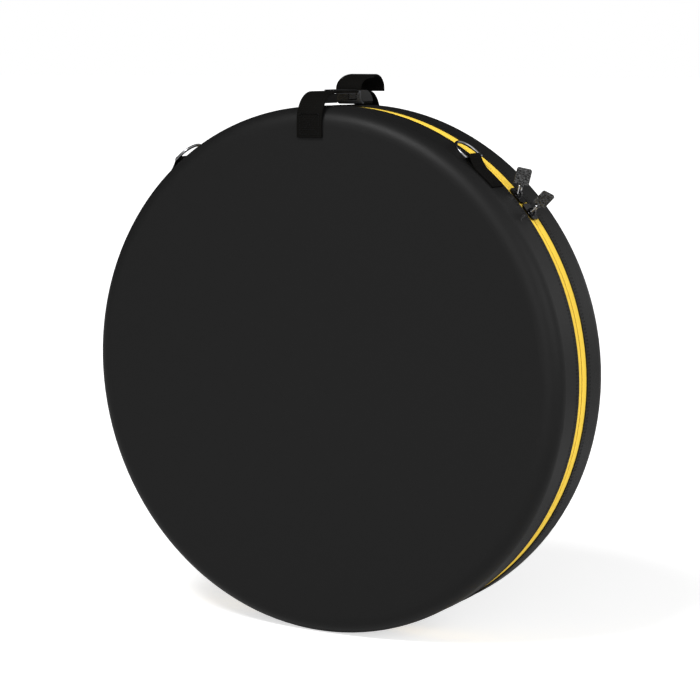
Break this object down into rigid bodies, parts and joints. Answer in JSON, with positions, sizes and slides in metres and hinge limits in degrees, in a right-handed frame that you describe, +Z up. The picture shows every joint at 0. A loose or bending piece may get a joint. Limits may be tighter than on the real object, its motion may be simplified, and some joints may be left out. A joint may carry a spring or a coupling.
{
  "type": "reflector carry case",
  "caption": "Round zipped carry case with a webbing handle and side rings, hinged like a clamshell round a folded spring-hoop reflector disc.",
  "frame": {"origin": "on the floor, in the middle of the small flat that the case stands on, on the zip's centre line; the whole box's bottom centre lies 2.5 mm behind it because the curled flap reaches further back than the front strap reaches forward", "axes": "+Z up through the handle, -Y out of the front face (the lid's face), +X to the right as seen from the front, where the sliders are parked"},
  "size_m": [0.47, 0.115, 0.4961],
  "materials": {
    "shell": "black woven nylon laminated on moulded foam",
    "lining": "dark grey brushed knit",
    "edge_binding": "black grosgrain binding tape",
    "zip_tape": "yellow woven zip tape",
    "zip_coil": "darker yellow nylon coil",
    "hinge_fabric": "the shells' black woven nylon",
    "zip_stops": "satin",
    "webbing": "black polypropylene webbing",
    "foam_pad": "black fabric over foam",
    "flap_webbing": "charcoal webbing with a box stitch",
    "grip_tape": "black hook and loop tape",
    "elastic": "black ribbed elastic",
    "spring_wire": "tempered spring steel",
    "hoop_casing": "black edge binding",
    "reflector_fabric": "white reflector cloth, folded",
    "pocket_mesh": "black mesh",
    "ring_metal": "dark plated wire, satin",
    "slider_metal": "dark plated die-cast metal",
    "link_metal": "bright plated wire",
    "pull_rubber": "dark grey moulded rubber, ribbed"
  },
  "bodies": {
    "rear_case": {"rear_shell": "shell", "rear_lining": "lining", "rear_edge_binding": "edge_binding", "rear_zip_tape": "zip_tape", "rear_zip_coil": "zip_coil", "hinge_strip": "hinge_fabric", "zip_end_stops": "zip_stops", "handle_rear_strap": "webbing", "handle_rear_pad": "foam_pad", "flap_root": "flap_webbing", "elastic_strap_left": "elastic", "elastic_strap_right": "elastic", "reflector_hoop": "spring_wire", "reflector_binding": "hoop_casing", "reflector_fabric": "reflector_fabric"},
    "lid": {"front_shell": "shell", "front_lining": "lining", "front_edge_binding": "edge_binding", "front_zip_tape": "zip_tape", "front_zip_coil": "zip_coil", "handle_front_strap": "webbing", "handle_front_pad": "foam_pad", "handle_loop_patch": "grip_tape", "ring_tab_left": "webbing", "ring_tab_right": "webbing", "lid_pocket": "pocket_mesh", "lid_pocket_hem": "edge_binding"},
    "handle_flap": {"handle_flap": "flap_webbing", "flap_hook_patch": "grip_tape"},
    "d_ring_left": {"d_ring_left": "ring_metal"},
    "d_ring_right": {"d_ring_right": "ring_metal"},
    "slider_a": {"slider_a": "slider_metal"},
    "pull_a": {"pull_a_link": "link_metal", "pull_a_tab": "pull_rubber"},
    "slider_b": {"slider_b": "slider_metal"},
    "pull_b": {"pull_b_link": "link_metal", "pull_b_tab": "pull_rubber"}
  },
  "joints": [
    {"name": "lid_hinge", "type": "hinge", "parent": "rear_case", "child": "lid", "pos_m": [-0.235, 0, 0.23397], "axis": [0, 0, -1], "range_deg": [0, 170]},
    {"name": "slider_a_run", "type": "hinge", "parent": "rear_case", "child": "slider_a", "pos_m": [0, 0, 0.23397], "axis": [0, -1, 0], "range_deg": [0, 35]},
    {"name": "slider_b_run", "type": "hinge", "parent": "rear_case", "child": "slider_b", "pos_m": [0, 0, 0.23397], "axis": [0, 1, 0], "range_deg": [0, 200]},
    {"name": "pull_a_swing", "type": "hinge", "parent": "slider_a", "child": "pull_a", "pos_m": [0.1728, 0, 0.39617], "axis": [0, 1, 0], "range_deg": [-27, 53]},
    {"name": "pull_b_swing", "type": "hinge", "parent": "slider_b", "child": "pull_b", "pos_m": [0.1857, 0, 0.38122], "axis": [0, 1, 0], "range_deg": [-8, 67]},
    {"name": "d_ring_right_swing", "type": "hinge", "parent": "lid", "child": "d_ring_right", "pos_m": [0.14083, -0.023, 0.42781], "axis": [0, 1, 0], "range_deg": [-8, 160]},
    {"name": "d_ring_left_swing", "type": "hinge", "parent": "lid", "child": "d_ring_left", "pos_m": [-0.1524, -0.023, 0.41885], "axis": [0, -1, 0], "range_deg": [-8, 160]},
    {"name": "handle_flap_fold", "type": "hinge", "parent": "rear_case", "child": "handle_flap", "pos_m": [-0.0024, 0.014, 0.48307], "axis": [1, 0, 0], "range_deg": [0, 100]}
  ]
}
